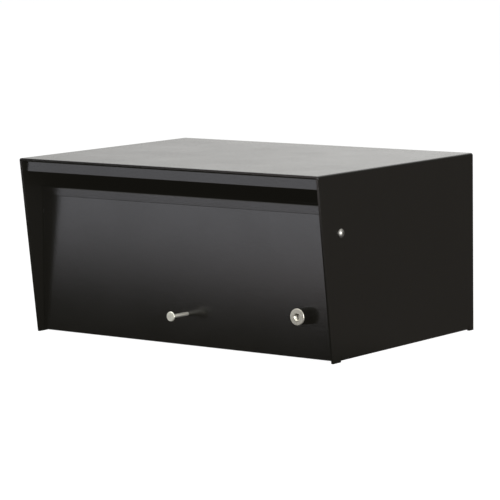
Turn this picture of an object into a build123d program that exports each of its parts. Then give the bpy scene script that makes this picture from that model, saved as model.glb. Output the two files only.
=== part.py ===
from build123d import *
import os

os.makedirs("parts", exist_ok=True)

# Letterbox: a folded sheet hood with a mail slot under its top sheet, and a
# front door that is hinged on two screws near its upper corners and swings up
# and out. Millimetres. +X is to the right seen from the front, +Y to the back,
# +Z up. The origin is under the middle of the box, on the ground.

# ---------------------------------------------------------------- cabinet
width = 400.0            # across the outside of the side walls
depth = 287.9            # front edge of the top sheet to the back face
height = 193.4           # ground to the upper face of the top sheet
sheet = 2.5              # hood sheet
bend = 2.8               # outside radius of the hood's folds
bend_inner = 0.5         # the folds are grooved before folding, so they are tight inside
wall_rake = 23.3         # the side walls' front edge is this much further back at the ground
belly = 1.1              # underside of the side walls above the ground, between the feet
foot_front_end = 37.5    # the front feet run back to here
foot_rear_start = 277.0  # the rear feet start here
relief = 0.8             # slit between a foot and the folded flange
cut_round = 0.35         # the coat rounds every cut edge by this much
bottom_flange = 16.0     # folded in under the floor pan, from the wall's outer face
rear_flange = 15.0       # folded in behind the back panel

front = -depth / 2       # every "from the front" size below is added to this
half_w = width / 2
inner_w = half_w - sheet

lip_face = 6.5           # rain lip, from the front
lip_bottom = 178.65
lip_sheet = 1.5
lip_leg = 16.0           # the lip's flange under the top sheet

rail_face = 32.0         # mail rail, from the front
rail_bottom = 150.35
rail_top = 160.65
rail_sheet = 1.6
rail_leg = 17.0          # the rail's flange, that mail slides over

floor_sheet = 2.0
floor_z = belly + sheet  # the pan lies on the hood's bottom flanges
floor_front = 34.9
floor_stop = 10.8        # top of the turned-up front edge, that the door closes over
floor_rear_rise = 20.0

back_sheet = 2.0
back_z0 = floor_z
back_z1 = 189.5
back_half = 196.0

floor_bolt_x = 300.0     # holes to fix the box down on a post plate
floor_bolt_y = 160.0
back_bolt_x = 300.0      # holes to fix the box to a wall
back_bolt_z = 100.0
back_bolt_mid = 100.0
bolt_r = 3.25
drain_r = 2.5

# ------------------------------------------------------------------- door
# The closed door leans back at its top. Its pieces are drawn upright and then
# turned about the hinge line, so these sizes are those of the upright door.
door_lean = 1.3          # degrees
door_face = 33.6         # from the front
door_sheet = 1.5
door_bottom = 1.45
door_top = 155.0
door_half = 196.7
return_depth = 9.0       # the door's side flanges, from the face
return_z0 = 14.0
return_z1 = 150.0
ear_r = 6.5

pivot_y = 39.0           # hinge axis, from the front
pivot_z = 132.15
pin_r = 2.0
pin_clear = 0.05         # running clearance of a pin in its bush
pin_head_r = 4.75
pin_head_h = 2.75
head_gap = 0.1           # between a screw's head and the wall that it turns against
bush_r = 3.4             # bushes in the side walls
boss_r = 3.5             # threaded bosses on the door's ears
boss_length = 6.0

knob_x = 5.4
knob_z = 34.85
knob_stem_r = 2.0
knob_stud_r = 1.5
knob_head_r = 5.2
knob_head_t = 1.3        # rim of the head, in front of its conical back
knob_cone = 2.3
knob_reach = 28.65       # door face to the knob's front

lock_x = 159.15
lock_z = 45.3
lock_reach = 13.8        # door face to the lock's front
lock_head_r = 8.85
lock_head_t = 0.9
collar_r = 8.7
barrel_r = 6.0
plug_r = 4.0
plug_head_r = 4.3
plug_clear = 0.05
dish_r = 3.7             # conical dish in the plug's front, that guides the key
dish_in_r = 2.2
dish_depth = 1.7
cam_length = 29.0
cam_y = 47.5             # of the upright door
keeper_y = 43.0

# ------------------------------------------------------------------- hood
# One sheet: top, two side walls, flanges folded in at the back and below.
with BuildPart() as hood:
    with BuildSketch(Plane.XY):
        Rectangle(width, depth)
    extrude(amount=height)
    front_face = hood.faces().sort_by(Axis.Y)[0]
    under_face = hood.faces().sort_by(Axis.Z)[0]
    offset(amount=-sheet, openings=[front_face, under_face])
    # folds: two along the top's sides, one along its back, two upright at the back
    for inset, radius in ((0.0, bend), (sheet, bend_inner)):
        side_x = half_w - inset
        back_y = depth / 2 - inset
        top_z = height - inset
        fillet(
            hood.edges()
            .filter_by(Axis.Y)
            .filter_by(lambda e: abs(e.center().Z - top_z) < 0.01 and abs(abs(e.center().X) - side_x) < 0.01)
            + hood.edges()
            .filter_by(Axis.Z)
            .filter_by(lambda e: abs(e.center().Y - back_y) < 0.01 and abs(abs(e.center().X) - side_x) < 0.01)
            + hood.edges()
            .filter_by(Axis.X)
            .filter_by(lambda e: abs(e.center().Y - back_y) < 0.01 and abs(e.center().Z - top_z) < 0.01),
            radius=radius,
        )
    # the back stays open inside its flanges
    with BuildSketch(Plane.XZ.offset(-depth / 2 - 1)):
        with Locations((0, (height - rear_flange) / 2 - 1)):
            Rectangle(width - 2 * rear_flange, height - rear_flange + 2)
    extrude(amount=sheet + 6, mode=Mode.SUBTRACT)
    # raked front edges of the side walls
    with BuildSketch(Plane.YZ.offset(-half_w - 5)):
        with BuildLine():
            Polyline(
                (front, height),
                (front + wall_rake, 0),
                (front + wall_rake, -5),
                (front - 5, -5),
                (front - 5, height),
                close=True,
            )
        make_face()
    extrude(amount=width + 10, mode=Mode.SUBTRACT)
    # between the feet the walls stop above the ground
    with BuildSketch(Plane.YZ.offset(-half_w - 5)):
        with Locations(((foot_front_end + foot_rear_start) / 2 + front, 0)):
            Rectangle(foot_rear_start - foot_front_end, 2 * belly)
        with Locations((foot_front_end + relief / 2 + front, 3.0)):
            Rectangle(relief, 7.0)
        with Locations((foot_rear_start - relief / 2 + front, 3.0)):
            Rectangle(relief, 7.0)
    extrude(amount=width + 10, mode=Mode.SUBTRACT)
    # bottom flanges, folded in
    run_a = foot_front_end + relief + front
    run_b = foot_rear_start - relief + front
    with BuildSketch(Plane.XY.offset(belly)):
        for side in (-1, 1):
            with Locations((side * (inner_w - (bottom_flange - sheet) / 2), (run_a + run_b) / 2)):
                Rectangle(bottom_flange - sheet, run_b - run_a)
    extrude(amount=sheet)
    fold_out = (
        hood.edges()
        .filter_by(Axis.Y)
        .filter_by_position(Axis.Z, belly - 0.01, belly + 0.01)
        .filter_by(lambda e: abs(abs(e.center().X) - half_w) < 0.01)
    )
    fillet(fold_out, radius=bend)
    fold_in = (
        hood.edges()
        .filter_by(Axis.Y)
        .filter_by_position(Axis.Z, belly + sheet - 0.01, belly + sheet + 0.01)
        .filter_by(lambda e: abs(abs(e.center().X) - inner_w) < 0.01)
    )
    fillet(fold_in, radius=bend_inner)
    # rounded corners of the feet
    feet = (
        hood.edges()
        .filter_by(Axis.X)
        .filter_by_position(Axis.Z, -0.01, 0.01)
        .filter_by(lambda e: abs(e.center().X) > inner_w - 0.01)
    )
    fillet(
        feet.filter_by(lambda e: abs(e.center().Y - front - foot_front_end) < 0.1)
        + feet.filter_by(lambda e: abs(e.center().Y - front - foot_rear_start) < 0.1)
        + feet.filter_by(lambda e: abs(e.center().Y - front - wall_rake) < 0.1),
        radius=0.9,
    )
    # the raked front cut, rounded all the way round
    rake_normal = Vector(0, -height, -wall_rake).normalized()
    rake_point = Vector(0, front, height)
    fillet(
        hood.edges().filter_by(
            lambda e: all(abs((Vector(*tuple(v)) - rake_point).dot(rake_normal)) < 0.01 for v in e.vertices())
            and abs((e.center() - rake_point).dot(rake_normal)) < 0.01
        ),
        radius=cut_round,
    )
    # bores for the two hinge bushes
    with BuildSketch(Plane.YZ.offset(-half_w - 5)):
        with Locations((front + pivot_y, pivot_z)):
            Circle(bush_r)
    extrude(amount=width + 10, mode=Mode.SUBTRACT)
    # rivet holes in the rear flanges, countersunk so that the back is flush
    rivet_spots = [(s * 190.5, z) for s in (-1, 1) for z in (45.0, 105.0, 160.0)] + [
        (x, 184.5) for x in (-100.0, 0.0, 100.0)
    ]
    for rx, rz in rivet_spots:
        with BuildSketch(Plane(origin=(rx, depth / 2, rz), x_dir=(1, 0, 0), z_dir=(0, -1, 0))):
            Circle(3.2)
        with BuildSketch(Plane(origin=(rx, depth / 2 - 1.6, rz), x_dir=(1, 0, 0), z_dir=(0, -1, 0))):
            Circle(1.6)
        loft(mode=Mode.SUBTRACT)
        with BuildSketch(Plane(origin=(rx, depth / 2, rz), x_dir=(1, 0, 0), z_dir=(0, -1, 0))):
            Circle(1.6)
        extrude(amount=sheet + 1, mode=Mode.SUBTRACT)
    # rivet holes in the bottom flanges
    floor_rivet_spots = [(s * 189.0, y) for s in (-1, 1) for y in (-85.0, 0.0, 110.0)]
    with BuildSketch(Plane.XY.offset(belly - 1)):
        with Locations(*floor_rivet_spots):
            Circle(1.6)
    extrude(amount=sheet + 2, mode=Mode.SUBTRACT)
hood.part.label = "hood"
export_step(hood.part, "parts/hood.step")

# --------------------------------------------------------------- rain lip
# Angle under the top sheet: its face hangs down in front of the slot.
lip_half = inner_w - 0.1
with BuildPart() as rain_lip:
    with BuildSketch(Plane.YZ.offset(-lip_half)):
        with BuildLine():
            Polyline(
                (front + lip_face, lip_bottom),
                (front + lip_face, height - sheet),
                (front + lip_face + lip_leg, height - sheet),
                (front + lip_face + lip_leg, height - sheet - lip_sheet),
                (front + lip_face + lip_sheet, height - sheet - lip_sheet),
                (front + lip_face + lip_sheet, lip_bottom),
                close=True,
            )
        make_face()
    extrude(amount=2 * lip_half)
    lip_x = rain_lip.edges().filter_by(Axis.X)
    fillet(
        lip_x.filter_by(
            lambda e: abs(e.center().Y - front - lip_face) < 0.01 and abs(e.center().Z - height + sheet) < 0.01
        ),
        radius=lip_sheet + 0.5,
    )
    fillet(
        rain_lip.edges()
        .filter_by(Axis.X)
        .filter_by(
            lambda e: abs(e.center().Y - front - lip_face - lip_sheet) < 0.01
            and abs(e.center().Z - height + sheet + lip_sheet) < 0.01
        ),
        radius=0.5,
    )
    fillet(
        rain_lip.edges().filter_by(Axis.X).filter_by(lambda e: abs(e.center().Z - lip_bottom) < 0.01),
        radius=0.4,
    )
    # upper end corners cleared from the hood's inside fold
    with BuildSketch(Plane.XZ.offset(-(front + lip_face - 1))):
        for side in (-1, 1):
            with BuildLine():
                Polyline(
                    (side * (lip_half + 1), height - sheet + 1),
                    (side * (lip_half + 1), height - sheet - 1.9),
                    (side * (lip_half - 1.9), height - sheet + 1),
                    close=True,
                )
            make_face()
    extrude(amount=-(lip_leg + 2), mode=Mode.SUBTRACT)
rain_lip.part.label = "rain_lip"
export_step(rain_lip.part, "parts/rain_lip.step")

# -------------------------------------------------------------- mail rail
# Angle across the front, under the slot. The door's top edge closes behind it.
with BuildPart() as mail_rail:
    with BuildSketch(Plane.YZ.offset(-inner_w)):
        with BuildLine():
            Polyline(
                (front + rail_face, rail_bottom),
                (front + rail_face, rail_top),
                (front + rail_face + rail_leg, rail_top),
                (front + rail_face + rail_leg, rail_top - rail_sheet),
                (front + rail_face + rail_sheet, rail_top - rail_sheet),
                (front + rail_face + rail_sheet, rail_bottom),
                close=True,
            )
        make_face()
    extrude(amount=2 * inner_w)
    fillet(
        mail_rail.edges()
        .filter_by(Axis.X)
        .filter_by(
            lambda e: abs(e.center().Y - front - rail_face) < 0.01 and abs(e.center().Z - rail_top) < 0.01
        ),
        radius=rail_sheet + 0.4,
    )
    fillet(
        mail_rail.edges()
        .filter_by(Axis.X)
        .filter_by(
            lambda e: abs(e.center().Y - front - rail_face - rail_sheet) < 0.01
            and abs(e.center().Z - rail_top + rail_sheet) < 0.01
        ),
        radius=0.4,
    )
    fillet(
        mail_rail.edges()
        .filter_by(Axis.X)
        .filter_by(lambda e: abs(e.center().Z - rail_bottom) < 0.01),
        radius=0.4,
    )
    fillet(
        mail_rail.edges()
        .filter_by(Axis.X)
        .filter_by(lambda e: abs(e.center().Y - front - rail_face - rail_leg) < 0.01),
        radius=0.4,
    )
mail_rail.part.label = "mail_rail"
export_step(mail_rail.part, "parts/mail_rail.step")

# -------------------------------------------------------------- floor pan
# Tray on the hood's bottom flanges, edges turned up at the front and the back.
pan_half = inner_w - 1.2
pan_rear = depth - sheet - back_sheet
with BuildPart() as floor_pan:
    with BuildSketch(Plane.YZ.offset(-pan_half)):
        with BuildLine():
            Polyline(
                (front + floor_front, floor_stop),
                (front + floor_front, floor_z),
                (front + pan_rear, floor_z),
                (front + pan_rear, floor_rear_rise),
                (front + pan_rear - floor_sheet, floor_rear_rise),
                (front + pan_rear - floor_sheet, floor_z + floor_sheet),
                (front + floor_front + floor_sheet, floor_z + floor_sheet),
                (front + floor_front + floor_sheet, floor_stop),
                close=True,
            )
        make_face()
    extrude(amount=2 * pan_half)
    fillet(
        floor_pan.edges()
        .filter_by(Axis.X)
        .filter_by(
            lambda e: abs(e.center().Z - floor_z) < 0.01
        ),
        radius=floor_sheet + 0.5,
    )
    fillet(
        floor_pan.edges()
        .filter_by(Axis.X)
        .filter_by(lambda e: abs(e.center().Z - floor_z - floor_sheet) < 0.01),
        radius=0.5,
    )
    with BuildSketch(Plane.XY.offset(floor_z - 1)):
        with GridLocations(floor_bolt_x, floor_bolt_y, 2, 2):
            Circle(bolt_r)
        with GridLocations(2 * 165.0, 2 * 100.0, 2, 2):
            Circle(drain_r)
        with Locations(*floor_rivet_spots):
            Circle(1.6)
    extrude(amount=floor_sheet + 2, mode=Mode.SUBTRACT)
floor_pan.part.label = "floor_pan"
export_step(floor_pan.part, "parts/floor_pan.step")

# ----------------------------------------------------------- floor rivets
with BuildPart() as floor_rivets:
    for fx, fy in floor_rivet_spots:
        with BuildSketch(Plane.XY.offset(belly)):
            with Locations((fx, fy)):
                Circle(1.6)
        extrude(amount=floor_z + floor_sheet - belly)
        with BuildSketch(Plane.XY.offset(floor_z + floor_sheet)):
            with Locations((fx, fy)):
                Circle(3.2)
        extrude(amount=1.1)
    fillet(
        floor_rivets.edges().filter_by(GeomType.CIRCLE).group_by(Axis.Z)[-1],
        radius=0.8,
    )
floor_rivets.part.label = "floor_rivets"
export_step(floor_rivets.part, "parts/floor_rivets.step")

# ------------------------------------------------------------- back panel
back_outer = depth / 2 - sheet
with BuildPart() as back_panel:
    with BuildSketch(Plane.XZ.offset(-back_outer)):
        with Locations((0, (back_z0 + back_z1) / 2)):
            RectangleRounded(2 * back_half, back_z1 - back_z0, 2.0)
        with Locations((0, back_bolt_mid)):
            with GridLocations(back_bolt_x, back_bolt_z, 2, 2):
                Circle(bolt_r, mode=Mode.SUBTRACT)
        with Locations(*rivet_spots):
            Circle(1.6, mode=Mode.SUBTRACT)
    extrude(amount=back_sheet)
back_panel.part.label = "back_panel"
export_step(back_panel.part, "parts/back_panel.step")

# ------------------------------------------------------------ back rivets
with BuildPart() as back_rivets:
    for rx, rz in rivet_spots:
        with BuildSketch(Plane(origin=(rx, depth / 2, rz), x_dir=(1, 0, 0), z_dir=(0, -1, 0))):
            Circle(3.2)
        with BuildSketch(Plane(origin=(rx, depth / 2 - 1.6, rz), x_dir=(1, 0, 0), z_dir=(0, -1, 0))):
            Circle(1.6)
        loft()
        with BuildSketch(Plane(origin=(rx, depth / 2 - 1.6, rz), x_dir=(1, 0, 0), z_dir=(0, -1, 0))):
            Circle(1.6)
        extrude(amount=sheet + back_sheet - 1.6)
        with BuildSketch(
            Plane(origin=(rx, back_outer - back_sheet, rz), x_dir=(1, 0, 0), z_dir=(0, -1, 0))
        ):
            Circle(2.6)
        extrude(amount=1.4)
    fillet(
        back_rivets.edges().filter_by(GeomType.CIRCLE).group_by(Axis.Y)[0],
        radius=0.9,
    )
back_rivets.part.label = "back_rivets"
export_step(back_rivets.part, "parts/back_rivets.step")

# ------------------------------------------------------------ lock keeper
# Bracket welded to the right wall. The cam turns behind its tab.
with BuildPart() as lock_keeper:
    with BuildSketch(Plane.XY.offset(lock_z - 9)):
        with BuildLine():
            Polyline(
                (inner_w, front + keeper_y),
                (inner_w - 17, front + keeper_y),
                (inner_w - 17, front + keeper_y + 2),
                (inner_w - 2, front + keeper_y + 2),
                (inner_w - 2, front + keeper_y + 18),
                (inner_w, front + keeper_y + 18),
                close=True,
            )
        make_face()
    extrude(amount=18)
    fillet(
        lock_keeper.edges()
        .filter_by(Axis.Y)
        .filter_by(lambda e: abs(e.center().X - inner_w + 17) < 0.01),
        radius=2.5,
    )
    fillet(
        lock_keeper.edges()
        .filter_by(Axis.Z)
        .filter_by(
            lambda e: abs(e.center().X - inner_w + 2) < 0.01
            and abs(e.center().Y - front - keeper_y - 2) < 0.01
        ),
        radius=0.8,
    )
lock_keeper.part.label = "lock_keeper"
export_step(lock_keeper.part, "parts/lock_keeper.step")

# ----------------------------------------------------------- door bumpers
# Two rubber buttons on the floor pan's front edge, where the door closes.
with BuildPart() as door_bumpers:
    for bx in (-120.0, 120.0):
        with BuildSketch(
            Plane(origin=(bx, front + floor_front, 7.4), x_dir=(1, 0, 0), z_dir=(0, -1, 0))
        ):
            Circle(3.0)
        extrude(amount=2.0)
    fillet(
        door_bumpers.edges().filter_by(GeomType.CIRCLE).group_by(Axis.Y)[0],
        radius=0.8,
    )
door_bumpers.part.label = "door_bumpers"
export_step(door_bumpers.part, "parts/door_bumpers.step")

# ----------------------------------------------------------- hinge screws
# Domed screws in the door's bosses. They turn with the door, in bushes in the
# side walls.
hinge_line = Axis((0, front + pivot_y, pivot_z), (1, 0, 0))


def hung(piece):
    """The upright piece turned about the hinge line to the closed door's lean."""
    turned = piece.rotate(hinge_line, -door_lean)
    turned.label = piece.label
    return turned


ear_in = door_half - door_sheet
boss_end = ear_in - boss_length
pin_end = boss_end - 1.0
for side, name in ((-1, "pivot_pin_left"), (1, "pivot_pin_right")):
    out = (side, 0, 0)
    head_x = side * (half_w + head_gap)
    with BuildPart() as pivot_pin:
        # dome: a half profile turned about the hinge axis
        with BuildSketch(
            Plane(origin=(head_x, front + pivot_y, pivot_z), x_dir=(side, 0, 0), z_dir=(0, -1, 0))
        ):
            with BuildLine():
                l1 = Polyline((0, 0), (0, pin_head_r), (0.45, pin_head_r))
                l2 = ThreePointArc((0.45, pin_head_r), (2.05, 3.15), (pin_head_h, 0))
                l3 = Line((pin_head_h, 0), (0, 0))
            make_face()
        revolve(
            axis=Axis((head_x, front + pivot_y, pivot_z), out),
            revolution_arc=360,
        )
        # hexagon socket
        with BuildSketch(
            Plane(
                origin=(head_x + side * (pin_head_h + 0.5), front + pivot_y, pivot_z),
                x_dir=(0, 0, 1),
                z_dir=out,
            )
        ):
            RegularPolygon(1.25, 6, major_radius=False)
        extrude(amount=-2.1, mode=Mode.SUBTRACT)
        with BuildSketch(Plane(origin=(head_x, front + pivot_y, pivot_z), x_dir=(0, 1, 0), z_dir=out)):
            Circle(pin_r)
        extrude(amount=-(half_w + head_gap - pin_end))
        chamfer(
            pivot_pin.edges()
            .filter_by(GeomType.CIRCLE)
            .filter_by(lambda e: abs(abs(e.center().X) - pin_end) < 0.01),
            length=0.4,
        )
    pivot_pin.part.label = name
    export_step(pivot_pin.part, "parts/" + name + ".step")

# Threaded bosses welded inside the door's ears.
with BuildPart() as pivot_bosses:
    for side in (-1, 1):
        with BuildSketch(
            Plane(origin=(side * ear_in, front + pivot_y, pivot_z), x_dir=(0, 1, 0), z_dir=(-side, 0, 0))
        ):
            Circle(boss_r)
            Circle(pin_r, mode=Mode.SUBTRACT)
        extrude(amount=boss_length)
    chamfer(
        pivot_bosses.edges()
        .filter_by(GeomType.CIRCLE)
        .filter_by(lambda e: abs(abs(e.center().X) - boss_end) < 0.01 and e.radius > 3),
        length=0.5,
    )
pivot_bosses.part.label = "pivot_bosses"
export_step(hung(pivot_bosses.part), "parts/pivot_bosses.step")

# ------------------------------------------------------------- door panel
with BuildPart() as door_panel:
    with BuildSketch(Plane.XZ.offset(-(front + door_face))):
        with Locations((0, (door_bottom + door_top) / 2)):
            Rectangle(2 * door_half, door_top - door_bottom)
    extrude(amount=-door_sheet)
    # side flanges with an ear round each hinge hole
    for side in (-1, 1):
        with BuildSketch(Plane.YZ.offset(side * door_half)):
            with BuildLine():
                Polyline(
                    (front + door_face + 0.5, return_z0),
                    (front + door_face + return_depth, return_z0 + 6),
                    (front + door_face + return_depth, return_z1 - 6),
                    (front + door_face + 0.5, return_z1),
                    close=True,
                )
            make_face()
            with Locations((front + pivot_y, pivot_z)):
                Circle(ear_r)
            # the ear stays behind the door's face
            with Locations((front + door_face + 0.5 - 5, pivot_z)):
                Rectangle(10, 30, mode=Mode.SUBTRACT)
        extrude(amount=-side * door_sheet)
    fillet(
        door_panel.edges()
        .filter_by(Axis.Z)
        .filter_by(
            lambda e: abs(e.center().Y - front - door_face) < 0.01 and abs(abs(e.center().X) - door_half) < 0.01
        ),
        radius=1.2,
    )
    # top and bottom cuts, rounded at the front
    fillet(
        door_panel.edges()
        .filter_by(Axis.X)
        .filter_by(
            lambda e: abs(e.center().Y - front - door_face) < 0.01
            and (abs(e.center().Z - door_top) < 0.01 or abs(e.center().Z - door_bottom) < 0.01)
        ),
        radius=cut_round,
    )
    # holes for the hinge screws
    with BuildSketch(Plane.YZ.offset(-door_half - 5)):
        with Locations((front + pivot_y, pivot_z)):
            Circle(pin_r + 0.1)
    extrude(amount=2 * door_half + 10, mode=Mode.SUBTRACT)
    # hole for the knob's stud, and the lock's hole with two flats
    with BuildSketch(Plane.XZ.offset(-(front + door_face - 5))):
        with Locations((knob_x, knob_z)):
            Circle(knob_stud_r + 0.1)
    extrude(amount=-(door_sheet + 10), mode=Mode.SUBTRACT)
    with BuildSketch(Plane.XZ.offset(-(front + door_face - 5))):
        with Locations((lock_x, lock_z)):
            Circle(barrel_r + 0.1)
            Rectangle(2 * 5.3, 20, mode=Mode.INTERSECT)
    extrude(amount=-(door_sheet + 10), mode=Mode.SUBTRACT)
door_panel.part.label = "door_panel"
export_step(hung(door_panel.part), "parts/door_panel.step")

# ------------------------------------------------------------ hinge bushes
# Flanged nylon bushes in the side walls, flanges inwards.
for side, name in ((-1, "pivot_bush_left"), (1, "pivot_bush_right")):
    with BuildPart() as pivot_bush:
        with BuildSketch(
            Plane(origin=(side * inner_w, front + pivot_y, pivot_z), x_dir=(0, 1, 0), z_dir=(side, 0, 0))
        ):
            Circle(bush_r)
        extrude(amount=sheet)
        with BuildSketch(
            Plane(origin=(side * inner_w, front + pivot_y, pivot_z), x_dir=(0, 1, 0), z_dir=(-side, 0, 0))
        ):
            Circle(5.0)
        extrude(amount=0.4)
        with BuildSketch(
            Plane(
                origin=(side * (inner_w - 2), front + pivot_y, pivot_z), x_dir=(0, 1, 0), z_dir=(side, 0, 0)
            )
        ):
            Circle(pin_r + pin_clear)
        extrude(amount=10, mode=Mode.SUBTRACT)
    pivot_bush.part.label = name
    export_step(pivot_bush.part, "parts/" + name + ".step")

# ------------------------------------------------------------------- knob
# Nail-shaped pull, turned from one bar, with a stud through the door.
knob_axis = Axis((knob_x, front + door_face, knob_z), (0, -1, 0))
with BuildPart() as door_knob:
    with BuildSketch(
        Plane(origin=(knob_x, front + door_face, knob_z), x_dir=(1, 0, 0), z_dir=(0, 0, 1))
    ):
        with BuildLine():
            Polyline(
                (0, door_sheet + 4.6),
                (knob_stud_r - 0.4, door_sheet + 4.6),
                (knob_stud_r, door_sheet + 4.2),
                (knob_stud_r, 0),
                (knob_stem_r, 0),
                (knob_stem_r, -(knob_reach - knob_head_t - knob_cone)),
                (knob_head_r - 0.15, -(knob_reach - knob_head_t)),
                (knob_head_r, -(knob_reach - knob_head_t) - 0.2),
                (knob_head_r, -knob_reach + 0.35),
                (knob_head_r - 0.35, -knob_reach),
                (0, -knob_reach),
                close=True,
            )
        make_face()
    revolve(axis=knob_axis, revolution_arc=360)
door_knob.part.label = "door_knob"
export_step(hung(door_knob.part), "parts/door_knob.step")

inside_face = front + door_face + door_sheet
with BuildPart() as knob_washer:
    with BuildSketch(Plane(origin=(knob_x, inside_face, knob_z), x_dir=(1, 0, 0), z_dir=(0, 1, 0))):
        Circle(3.5)
        Circle(knob_stud_r, mode=Mode.SUBTRACT)
    extrude(amount=0.6)
knob_washer.part.label = "knob_washer"
export_step(hung(knob_washer.part), "parts/knob_washer.step")

with BuildPart() as knob_nut:
    with BuildSketch(
        Plane(origin=(knob_x, inside_face + 0.6, knob_z), x_dir=(1, 0, 0), z_dir=(0, 1, 0))
    ):
        RegularPolygon(2.75, 6, major_radius=False)
        Circle(knob_stud_r, mode=Mode.SUBTRACT)
    extrude(amount=2.4)
knob_nut.part.label = "knob_nut"
export_step(hung(knob_nut.part), "parts/knob_nut.step")

# ------------------------------------------------------------------- lock
lock_front = front + door_face - lock_reach
lock_dir = dict(x_dir=(1, 0, 0), z_dir=(0, 1, 0))
cam_face = front + cam_y
barrel_end = cam_face - 0.3
with BuildPart() as lock_body:
    # round head
    with BuildSketch(Plane(origin=(lock_x, lock_front, lock_z), **lock_dir)):
        Circle(lock_head_r)
    extrude(amount=lock_head_t)
    fillet(lock_body.edges().filter_by(GeomType.CIRCLE).group_by(Axis.Y)[0], radius=0.7)
    # round barrel in the collar, then two flats through the door
    with BuildSketch(Plane(origin=(lock_x, lock_front + lock_head_t, lock_z), **lock_dir)):
        Circle(barrel_r)
    extrude(amount=lock_reach - lock_head_t)
    with BuildSketch(Plane(origin=(lock_x, front + door_face, lock_z), **lock_dir)):
        Circle(barrel_r)
        Rectangle(2 * 5.2, 20, mode=Mode.INTERSECT)
    extrude(amount=barrel_end - front - door_face)
    # seat of the plug's head, and the bore that the plug turns in
    with BuildSketch(Plane(origin=(lock_x, lock_front - 1, lock_z), **lock_dir)):
        Circle(plug_head_r + 0.1)
    extrude(amount=1 + 2.5, mode=Mode.SUBTRACT)
    with BuildSketch(Plane(origin=(lock_x, lock_front - 1, lock_z), **lock_dir)):
        Circle(plug_r + plug_clear)
    extrude(amount=40, mode=Mode.SUBTRACT)
lock_body.part.label = "lock_body"
export_step(hung(lock_body.part), "parts/lock_body.step")

with BuildPart() as lock_collar:
    with BuildSketch(Plane(origin=(lock_x, lock_front + lock_head_t, lock_z), **lock_dir)):
        Circle(collar_r)
        Circle(barrel_r, mode=Mode.SUBTRACT)
    extrude(amount=lock_reach - lock_head_t)
lock_collar.part.label = "lock_collar"
export_step(hung(lock_collar.part), "parts/lock_collar.step")

with BuildPart() as lock_washer:
    with BuildSketch(Plane(origin=(lock_x, inside_face, lock_z), **lock_dir)):
        Circle(9.5)
        Circle(barrel_r, mode=Mode.SUBTRACT)
    extrude(amount=0.8)
lock_washer.part.label = "lock_washer"
export_step(hung(lock_washer.part), "parts/lock_washer.step")

with BuildPart() as lock_nut:
    with BuildSketch(Plane(origin=(lock_x, inside_face + 0.8, lock_z), **lock_dir)):
        RegularPolygon(8.5, 6, major_radius=False)
        Circle(barrel_r, mode=Mode.SUBTRACT)
    extrude(amount=3.6)
lock_nut.part.label = "lock_nut"
export_step(hung(lock_nut.part), "parts/lock_nut.step")

# plug: turns in the barrel, a dish and the keyway in its front, square tail for the cam
plug_front = lock_front + 0.1
with BuildPart() as lock_plug:
    with BuildSketch(Plane(origin=(lock_x, plug_front, lock_z), **lock_dir)):
        Circle(plug_head_r)
    extrude(amount=2.3)
    with BuildSketch(Plane(origin=(lock_x, plug_front, lock_z), **lock_dir)):
        Circle(plug_r)
    extrude(amount=cam_face - plug_front)
    with BuildSketch(Plane(origin=(lock_x, cam_face, lock_z), **lock_dir)):
        Rectangle(5.6, 5.6)
    extrude(amount=1.9)
    # conical dish, then the flat that the keyway is cut in
    with BuildSketch(Plane(origin=(lock_x, plug_front, lock_z), **lock_dir)):
        Circle(dish_r)
    with BuildSketch(Plane(origin=(lock_x, plug_front + dish_depth, lock_z), **lock_dir)):
        Circle(dish_in_r)
    loft(mode=Mode.SUBTRACT)
    with BuildSketch(Plane(origin=(lock_x, plug_front - 1, lock_z), **lock_dir)):
        Rectangle(1.6, 2 * dish_in_r + 1.6)
    extrude(amount=13, mode=Mode.SUBTRACT)
    # tapped hole for the cam screw
    with BuildSketch(Plane(origin=(lock_x, cam_face + 1.9, lock_z), **lock_dir)):
        Circle(1.5)
    extrude(amount=-7, mode=Mode.SUBTRACT)
lock_plug.part.label = "lock_plug"
export_step(hung(lock_plug.part), "parts/lock_plug.step")

with BuildPart() as cam_lever:
    with BuildSketch(Plane(origin=(lock_x, cam_face, lock_z), **lock_dir)):
        with BuildLine():
            # x runs to the side, y of this plane runs down, towards the tip
            Polyline((-7.5, 0), (-5.0, cam_length - 3), (-2.0, cam_length), (2.0, cam_length),
                     (5.0, cam_length - 3), (7.5, 0))
            ThreePointArc((7.5, 0), (0, -7.5), (-7.5, 0))
        make_face()
        Rectangle(5.6, 5.6, mode=Mode.SUBTRACT)
    extrude(amount=2.0)
cam_lever.part.label = "cam_lever"
export_step(hung(cam_lever.part), "parts/cam_lever.step")

with BuildPart() as cam_washer:
    with BuildSketch(Plane(origin=(lock_x, cam_face + 2.0, lock_z), **lock_dir)):
        Circle(4.5)
        Circle(1.5, mode=Mode.SUBTRACT)
    extrude(amount=0.8)
cam_washer.part.label = "cam_washer"
export_step(hung(cam_washer.part), "parts/cam_washer.step")

with BuildPart() as cam_screw:
    with BuildSketch(Plane(origin=(lock_x, cam_face + 2.8, lock_z), **lock_dir)):
        Circle(3.2)
    extrude(amount=2.2)
    fillet(cam_screw.edges().filter_by(GeomType.CIRCLE).group_by(Axis.Y)[-1], radius=0.8)
    with BuildSketch(Plane(origin=(lock_x, cam_face + 2.8, lock_z), **lock_dir)):
        Circle(1.5)
    extrude(amount=-7.0)
    with BuildSketch(Plane(origin=(lock_x, cam_face + 5.0, lock_z), **lock_dir)):
        Rectangle(0.9, 4.6)
        Rectangle(4.6, 0.9)
    extrude(amount=-1.3, mode=Mode.SUBTRACT)
cam_screw.part.label = "cam_screw"
export_step(hung(cam_screw.part), "parts/cam_screw.step")
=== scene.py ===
import math

import bpy
from mathutils import Matrix, Vector

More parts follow.
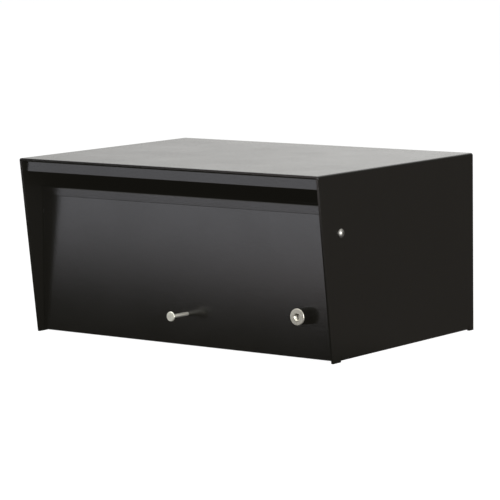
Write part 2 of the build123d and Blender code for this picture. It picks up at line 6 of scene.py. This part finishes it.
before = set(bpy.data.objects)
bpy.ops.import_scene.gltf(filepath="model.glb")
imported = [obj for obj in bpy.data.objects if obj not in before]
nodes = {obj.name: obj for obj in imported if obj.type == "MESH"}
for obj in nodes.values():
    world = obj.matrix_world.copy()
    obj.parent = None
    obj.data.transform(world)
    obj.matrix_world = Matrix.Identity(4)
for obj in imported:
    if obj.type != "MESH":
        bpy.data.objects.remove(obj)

scene = bpy.context.scene
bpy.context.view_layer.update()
mm = 0.001


# ------------------------------------------------------------ node helpers
def new_material(name):
    m = bpy.data.materials.new(name)
    m.use_nodes = True
    m.node_tree.nodes.clear()
    return m, Tree(m.node_tree)


class Tree:
    """Short names for making and linking shader nodes."""

    def __init__(self, tree):
        self.t = tree
        self.x = 0

    def add(self, kind, **settings):
        n = self.t.nodes.new(kind)
        self.x += 180
        n.location = (self.x, 0)
        for k, v in settings.items():
            setattr(n, k, v)
        return n

    def link(self, a, b):
        self.t.links.new(a, b)

    def put(self, socket, value):
        """A socket gets a link or a constant."""
        if isinstance(value, bpy.types.NodeSocket):
            self.link(value, socket)
        else:
            socket.default_value = value

    def coords(self):
        return self.add("ShaderNodeTexCoord").outputs["Object"]

    def scaled(self, vector, scale, turn=(0, 0, 0)):
        n = self.add("ShaderNodeMapping")
        n.inputs["Scale"].default_value = scale
        n.inputs["Rotation"].default_value = turn
        self.link(vector, n.inputs["Vector"])
        return n.outputs["Vector"]

    def noise(self, vector, scale, detail=3.0, rough=0.5, distortion=0.0):
        n = self.add("ShaderNodeTexNoise")
        n.inputs["Scale"].default_value = scale
        n.inputs["Detail"].default_value = detail
        n.inputs["Roughness"].default_value = rough
        n.inputs["Distortion"].default_value = distortion
        self.link(vector, n.inputs["Vector"])
        return n.outputs["Fac"]

    def voronoi(self, vector, scale, feature="F1", smooth=None):
        n = self.add("ShaderNodeTexVoronoi", feature=feature)
        n.inputs["Scale"].default_value = scale
        if smooth is not None:
            n.inputs["Smoothness"].default_value = smooth
        self.link(vector, n.inputs["Vector"])
        return n.outputs["Distance"]

    def math(self, op, a, b=None, c=None, clamp=False):
        n = self.add("ShaderNodeMath", operation=op, use_clamp=clamp)
        self.put(n.inputs[0], a)
        if b is not None:
            self.put(n.inputs[1], b)
        if c is not None:
            self.put(n.inputs[2], c)
        return n.outputs[0]

    def remap(self, value, lo, hi, to_lo=0.0, to_hi=1.0, smooth=False):
        n = self.add("ShaderNodeMapRange")
        n.interpolation_type = "SMOOTHSTEP" if smooth else "LINEAR"
        n.clamp = True
        self.put(n.inputs["Value"], value)
        n.inputs["From Min"].default_value = lo
        n.inputs["From Max"].default_value = hi
        n.inputs["To Min"].default_value = to_lo
        n.inputs["To Max"].default_value = to_hi
        return n.outputs["Result"]

    def ramp(self, value, stops):
        n = self.add("ShaderNodeValToRGB")
        while len(n.color_ramp.elements) < len(stops):
            n.color_ramp.elements.new(0.5)
        for e, (p, c) in zip(n.color_ramp.elements, stops):
            e.position = p
            e.color = (*c, 1)
        self.put(n.inputs["Fac"], value)
        return n.outputs["Color"]

    def mix(self, a, b, fac):
        n = self.add("ShaderNodeMix", data_type="RGBA")
        self.put(n.inputs["Factor"], fac)
        for name, v in (("A", a), ("B", b)):
            s = [i for i in n.inputs if i.name == name and i.type == "RGBA"][0]
            self.put(s, v if isinstance(v, bpy.types.NodeSocket) else (*v, 1))
        return [o for o in n.outputs if o.type == "RGBA"][0]

    def bump(self, height, distance, strength=1.0, normal=None):
        n = self.add("ShaderNodeBump")
        n.inputs["Distance"].default_value = distance
        n.inputs["Strength"].default_value = strength
        self.link(height, n.inputs["Height"])
        if normal is not None:
            self.link(normal, n.inputs["Normal"])
        return n.outputs["Normal"]

    def principled(self, **inputs):
        n = self.add("ShaderNodeBsdfPrincipled")
        for k, v in inputs.items():
            s = n.inputs[k.replace("_", " ")]
            if isinstance(v, tuple) and len(v) == 3:
                v = (*v, 1)
            self.put(s, v)
        out = self.add("ShaderNodeOutputMaterial")
        self.link(n.outputs["BSDF"], out.inputs["Surface"])
        return n


# --------------------------------------------------------------- materials
def powder_coat(name, ior=1.5):
    """Satin black powder coat: orange peel, a finer grain, and faint clouding."""
    m, t = new_material(name)
    c = t.coords()
    peel = t.noise(c, 520.0, 2.0, 0.45)
    grain = t.noise(c, 1900.0, 2.0, 0.6)
    cloud = t.noise(c, 17.0, 3.0, 0.55)
    n1 = t.bump(peel, 0.00008, 1.0)
    n2 = t.bump(grain, 0.000028, 1.0, n1)
    rough = t.math("ADD", t.remap(cloud, 0.3, 0.7, 0.185, 0.215), t.remap(grain, 0.3, 0.7, -0.02, 0.02))
    speck = t.remap(grain, 0.35, 0.68, 0.0, 1.0)
    colour = t.mix((0.0012, 0.0011, 0.0009), (0.0033, 0.0031, 0.0026), speck)
    t.principled(Base_Color=colour, Roughness=rough, IOR=ior, Normal=n2)
    return m


def steel_turned(name, centre, tint=(0.62, 0.605, 0.57), rough=0.34, stem=None):
    """Turned steel with fine rings about an axis along Y. From stem back it is duller, and its colour is darker than
    the head's: painted shade on the same steel.
    """
    m, t = new_material(name)
    c = t.coords()
    sep = t.add("ShaderNodeSeparateXYZ")
    t.link(c, sep.inputs[0])
    dx = t.math("SUBTRACT", sep.outputs["X"], centre[0])
    dz = t.math("SUBTRACT", sep.outputs["Z"], centre[1])
    r = t.math("SQRT", t.math("ADD", t.math("MULTIPLY", dx, dx), t.math("MULTIPLY", dz, dz)))
    comb = t.add("ShaderNodeCombineXYZ")
    t.link(r, comb.inputs[0])
    t.link(sep.outputs["Y"], comb.inputs[1])
    rings = t.noise(comb.outputs[0], 5200.0, 2.0, 0.6)
    blot = t.noise(c, 420.0, 2.0, 0.5)
    n1 = t.bump(rings, 0.000012, 1.0)
    colour = t.mix(tuple(v * 0.93 for v in tint), tuple(min(1, v * 1.06) for v in tint), t.remap(blot, 0.3, 0.7))
    roughness = t.math("ADD", t.remap(rings, 0.3, 0.7, rough - 0.05, rough + 0.05), t.remap(blot, 0.3, 0.7, -0.03, 0.03))
    if stem is not None:
        on_stem = t.remap(sep.outputs["Y"], stem, stem + 0.0003)
        roughness = t.math("ADD", roughness, t.math("MULTIPLY", on_stem, 0.12))
        # painted light and shade: the stem is mixed to a darker tint than the pale head, though both are one steel
        colour = t.mix(colour, (0.62, 0.605, 0.55), t.math("MULTIPLY", on_stem, 0.95))
    t.principled(Base_Color=colour, Metallic=1.0, Roughness=roughness, Normal=n1)
    return m


def plated(name, tint, dark, rough=0.3, scale=260.0):
    """Zinc or nickel plate: faint crystals and dull patches."""
    m, t = new_material(name)
    c = t.coords()
    spangle = t.voronoi(c, scale)
    blot = t.noise(c, 120.0, 4.0, 0.6)
    fine = t.noise(c, 2600.0, 2.0, 0.5)
    colour = t.mix(dark, tint, t.math("ADD", t.remap(blot, 0.3, 0.7, 0.0, 0.7), t.remap(spangle, 0.0, 1.0, 0.0, 0.3)))
    roughness = t.math("ADD", t.remap(blot, 0.3, 0.7, rough + 0.08, rough - 0.04), t.remap(fine, 0.3, 0.7, -0.03, 0.03))
    n1 = t.bump(fine, 0.000006, 1.0)
    t.principled(Base_Color=colour, Metallic=1.0, Roughness=roughness, Normal=n1)
    return m


def moulded(name, tint, rough, grain_depth=0.00002, ior=1.46):
    """Moulded plastic or rubber with a fine eroded grain."""
    m, t = new_material(name)
    c = t.coords()
    grain = t.noise(c, 1500.0, 3.0, 0.6)
    cloud = t.noise(c, 90.0, 2.0, 0.5)
    colour = t.mix(tuple(v * 0.88 for v in tint), tuple(min(1.0, v * 1.1) for v in tint), t.remap(cloud, 0.3, 0.7))
    roughness = t.math("ADD", t.remap(grain, 0.3, 0.7, rough - 0.05, rough + 0.05), t.remap(cloud, 0.3, 0.7, -0.03, 0.03))
    t.principled(Base_Color=colour, Roughness=roughness, IOR=ior, Normal=t.bump(grain, grain_depth, 1.0))
    return m


coat = powder_coat("powder_coat_black")
rail_coat = powder_coat("powder_coat_rail", 1.46)
lip_coat = powder_coat("powder_coat_lip", 1.44)
knob_steel = steel_turned("stainless_turned", (0.0054, 0.03565), (0.95, 0.94, 0.83), 0.44, stem=-0.1378)
lock_steel = steel_turned("nickel_face", (0.15915, 0.04576), (0.63, 0.61, 0.53), 0.42)
pin_steel = plated("stainless_screw", (0.24, 0.235, 0.22), (0.20, 0.195, 0.18), 0.46)
zinc = plated("zinc_plate", (0.60, 0.61, 0.62), (0.46, 0.47, 0.48), 0.32)
black_plastic = moulded("black_plastic", (0.0012, 0.0008, 0.0008), 0.25, 0.000008)
nylon = moulded("black_nylon", (0.010, 0.010, 0.010), 0.45)
rubber = moulded("black_rubber", (0.016, 0.016, 0.017), 0.62)
rivet_alu = plated("aluminium_rivet", (0.80, 0.80, 0.80), (0.66, 0.66, 0.67), 0.30)

finish = {
    "hood": coat, "rain_lip": lip_coat, "mail_rail": rail_coat, "floor_pan": coat, "back_panel": coat,
    "lock_keeper": coat, "door_panel": coat,
    "back_rivets": rivet_alu, "floor_rivets": rivet_alu,
    "door_bumpers": rubber,
    "pivot_pin_left": pin_steel, "pivot_pin_right": pin_steel,
    "pivot_bosses": zinc,
    "pivot_bush_left": nylon, "pivot_bush_right": nylon,
    "door_knob": knob_steel, "knob_washer": zinc, "knob_nut": zinc,
    "lock_body": lock_steel, "lock_collar": black_plastic,
    "lock_washer": zinc, "lock_nut": zinc,
    "lock_plug": lock_steel, "cam_lever": zinc, "cam_washer": zinc, "cam_screw": zinc,
}
for name, obj in nodes.items():
    obj.data.materials.clear()
    obj.data.materials.append(finish[name])

# ------------------------------------------------------------------- stage
# Pale floor. Glossy surfaces see the reflector below instead of it.
def plane(name, size, centre):
    me = bpy.data.meshes.new(name)
    x, y, z = centre
    s = size / 2
    me.from_pydata([(x - s, y - s, z), (x + s, y - s, z), (x + s, y + s, z), (x - s, y + s, z)], [], [(0, 1, 2, 3)])
    o = bpy.data.objects.new(name, me)
    scene.collection.objects.link(o)
    return o


floor = plane("floor", 60.0, (0, 0, 0))
m, t = new_material("floor_pale")
diff = t.add("ShaderNodeBsdfDiffuse")
diff.inputs["Color"].default_value = (0.93, 0.93, 0.93, 1)
emi = t.add("ShaderNodeEmission")
emi.inputs["Color"].default_value = (1, 1, 1, 1)
# matt surfaces get less from the floor than the eye does
t.link(t.remap(t.add("ShaderNodeLightPath").outputs["Is Diffuse Ray"], 0.0, 1.0, 1.15, 0.25), emi.inputs["Strength"])
mix = t.add("ShaderNodeMixShader")
mix.inputs[0].default_value = 0.84
t.link(diff.outputs[0], mix.inputs[1])
t.link(emi.outputs[0], mix.inputs[2])
out = t.add("ShaderNodeOutputMaterial")
t.link(mix.outputs[0], out.inputs["Surface"])
floor.data.materials.append(m)
floor.visible_glossy = False

# Reflector: only glossy surfaces see it. Dark beside the box, bright from half a metre off in
# front, and dark again towards the back right.
reflector = plane("reflector", 60.0, (0, 0, -0.0005))
m, t = new_material("reflector_glow")
sep = t.add("ShaderNodeSeparateXYZ")
t.link(t.coords(), sep.inputs[0])
X, Y = sep.outputs["X"], sep.outputs["Y"]
# distance outside the box's outline
ox = t.math("SUBTRACT", t.math("ABSOLUTE", X), 0.20)
oy = t.math("SUBTRACT", t.math("ABSOLUTE", Y), 0.144)
off = t.math("MAXIMUM", t.math("MAXIMUM", ox, oy), 0.0)
R = t.math("SQRT", t.math("ADD", t.math("ADD", t.math("MULTIPLY", X, X), t.math("MULTIPLY", Y, Y)), 1e-6))
to_back_right = t.math("DIVIDE", t.math("ADD", t.math("MULTIPLY", X, 0.61), t.math("MULTIPLY", Y, 0.792)), R)
to_front = t.math("DIVIDE", t.math("MULTIPLY", Y, -1.0), R)
# the part of the front that a ray comes from, for rays mirrored towards the camera
start = t.math("SUBTRACT", t.math("SUBTRACT", X, t.math("MULTIPLY", Y, 0.7645)), 0.084)
reach = t.math("SUBTRACT", off, t.remap(start, -0.2, 0.2, 0.165, -0.050))
rise = t.remap(reach, 0.38, 0.62, 0.0, 1.2, smooth=True)
climb = t.remap(off, 0.62, 1.15, 0.0, 1.05)
across = t.remap(start, -0.2, 0.2, 0.90, 0.97)
far = t.math("MULTIPLY", t.remap(off, 1.5, 2.2), t.remap(start, -0.2, 0.2, 0.0, 1.2))
in_front = t.math("ADD", t.math("MULTIPLY", t.math("ADD", rise, climb), across), far)
around = t.remap(off, 0.05, 0.7, 0.03, 0.85, smooth=True)
front_share = t.remap(to_front, 0.15, 0.5, smooth=True)
glow = t.math("ADD", t.math("MULTIPLY", in_front, front_share),
              t.math("MULTIPLY", around, t.math("SUBTRACT", 1.0, front_share)))
hole = t.remap(to_back_right, 0.35, 0.85, 1.0, 0.0, smooth=True)
glow = t.math("ADD", t.math("MULTIPLY", glow, hole), t.math("MULTIPLY", t.math("SUBTRACT", 1.0, hole), 0.07))
# little light comes back from where the photographer stands
front_right = t.math("MULTIPLY", t.remap(t.math("DIVIDE", X, R), 0.0, 0.40, smooth=True),
                     t.remap(to_front, 0.2, 0.6, smooth=True))
glow = t.math("MULTIPLY", glow, t.math("SUBTRACT", 1.0, t.math("MULTIPLY", front_right, 0.88)))
emi = t.add("ShaderNodeEmission")
ahead = t.mix((1.14, 0.97, 0.95), (0.97, 0.98, 1.06), t.remap(off, 0.50, 0.85, smooth=True))
t.link(t.mix((1.12, 0.96, 0.95), ahead, hole), emi.inputs["Color"])
t.link(glow, emi.inputs["Strength"])
out = t.add("ShaderNodeOutputMaterial")
t.link(emi.outputs[0], out.inputs["Surface"])
reflector.data.materials.append(m)
reflector.visible_camera = False
reflector.visible_diffuse = False
reflector.visible_shadow = False
reflector.visible_transmission = False

# World: a pale backdrop behind, brighter higher up, and dim towards the back right.
world = bpy.data.worlds.new("studio")
scene.world = world
world.use_nodes = True
world.node_tree.nodes.clear()
t = Tree(world.node_tree)
way = t.add("ShaderNodeTexCoord").outputs["Generated"]
sep = t.add("ShaderNodeSeparateXYZ")
t.link(way, sep.inputs[0])
X, Y, Z = sep.outputs
flat = t.math("SQRT", t.math("ADD", t.math("ADD", t.math("MULTIPLY", X, X), t.math("MULTIPLY", Y, Y)), 1e-6))


def towards(azimuth, lo, hi):
    """1 in the direction of the azimuth (0 is +Y, 90 is +X), falling to 0 away from it."""
    a = math.radians(azimuth)
    dot = t.math("ADD", t.math("MULTIPLY", X, math.sin(a)), t.math("MULTIPLY", Y, math.cos(a)))
    return t.remap(t.math("DIVIDE", dot, flat), math.cos(math.radians(hi)), math.cos(math.radians(lo)), smooth=True)


behind = towards(-24, 4, 52)
dim = towards(38, 18, 62)
# the backdrop gets brighter from left to right as the camera sees it
along = t.math("DIVIDE", t.math("ADD", t.math("MULTIPLY", X, 0.794), t.math("MULTIPLY", Y, 0.607)), flat)
backdrop = t.remap(along, -0.20, 0.20, 0.58, 1.30)
horizon = t.math("ADD", t.math("MULTIPLY", t.math("SUBTRACT", 1.0, behind), 0.95), t.math("MULTIPLY", behind, backdrop))
horizon = t.math("ADD", t.math("MULTIPLY", horizon, t.math("SUBTRACT", 1.0, dim)), t.math("MULTIPLY", dim, 0.07))
photographer = t.math("SUBTRACT", 1.0, t.math("MULTIPLY", towards(142, 28, 66), 0.88))
horizon = t.math("MULTIPLY", horizon, photographer)
high = t.remap(Z, 0.45, 0.80, smooth=True)
level = t.math("ADD", t.math("MULTIPLY", horizon, t.math("SUBTRACT", 1.0, high)), t.math("MULTIPLY", high, 1.7))
band = t.math("MULTIPLY", t.remap(Z, 0.24, 0.42, smooth=True), t.remap(Z, 0.60, 0.85, 1.0, 0.0, smooth=True))
level = t.math("ADD", level, t.math("MULTIPLY", t.math("MULTIPLY", band, behind), 0.0))
level = t.math("MULTIPLY", level, t.remap(t.add("ShaderNodeLightPath").outputs["Is Diffuse Ray"], 0.0, 1.0, 1.0, 0.20))
bg = t.add("ShaderNodeBackground")
bg.inputs["Color"].default_value = (1.0, 0.995, 0.97, 1)
t.link(level, bg.inputs["Strength"])
out = t.add("ShaderNodeOutputWorld")
t.link(bg.outputs[0], out.inputs["Surface"])


def softbox(name, place, aim, size_x, size_y, power):
    data = bpy.data.lights.new(name, "AREA")
    data.shape = "RECTANGLE"
    data.size, data.size_y = size_x, size_y
    data.energy = power
    o = bpy.data.objects.new(name, data)
    scene.collection.objects.link(o)
    o.location = place
    o.rotation_mode = "QUATERNION"
    o.rotation_quaternion = (Vector(aim) - Vector(place)).to_track_quat("-Z", "Y")
    o.visible_camera = False
    return o


softbox("soft_right", (2.2, -1.3, 0.55), (0, 0, 0.1), 1.0, 1.0, 26.0)
softbox("soft_side", (2.6, -0.35, 0.45), (0, -0.12, 0.1), 1.0, 1.0, 100.0)
softbox("soft_top", (-0.6, -0.8, 2.4), (0, 0, 0.1), 1.6, 1.6, 24.0)

scene.view_settings.view_transform = "Standard"
scene.view_settings.look = "None"
scene.view_settings.exposure = 0.0
scene.view_settings.gamma = 1.0
# a little flare in the lens: black isn't quite black, and slightly warm
scene.view_settings.use_curve_mapping = True
curves = scene.view_settings.curve_mapping
curves.black_level = (-0.0062, -0.0058, -0.0046)
curves.white_level = (1.0, 1.0, 1.0)
curves.update()

# ------------------------------------------------------------------ camera
yaw, pitch, roll = math.radians(-37.442), math.radians(7.368), -0.0143
fw = Vector((math.sin(yaw) * math.cos(pitch), math.cos(yaw) * math.cos(pitch), -math.sin(pitch)))
right0 = Vector((math.cos(yaw), -math.sin(yaw), 0))
up0 = right0.cross(fw)
right = math.cos(roll) * right0 + math.sin(roll) * up0
up = -math.sin(roll) * right0 + math.cos(roll) * up0
cam_data = bpy.data.cameras.new("camera")
cam_data.sensor_fit = "HORIZONTAL"
cam_data.sensor_width = 36.0
cam_data.lens = 2693.06 / 500 * 36.0
cam_data.clip_start, cam_data.clip_end = 0.05, 200.0
cam_data.dof.use_dof = False
camera = bpy.data.objects.new("camera", cam_data)
scene.collection.objects.link(camera)
camera.matrix_world = Matrix((
    (right.x, up.x, -fw.x, 1.7694),
    (right.y, up.y, -fw.y, -2.30595),
    (right.z, up.z, -fw.z, 0.4658),
    (0, 0, 0, 1),
))
scene.camera = camera
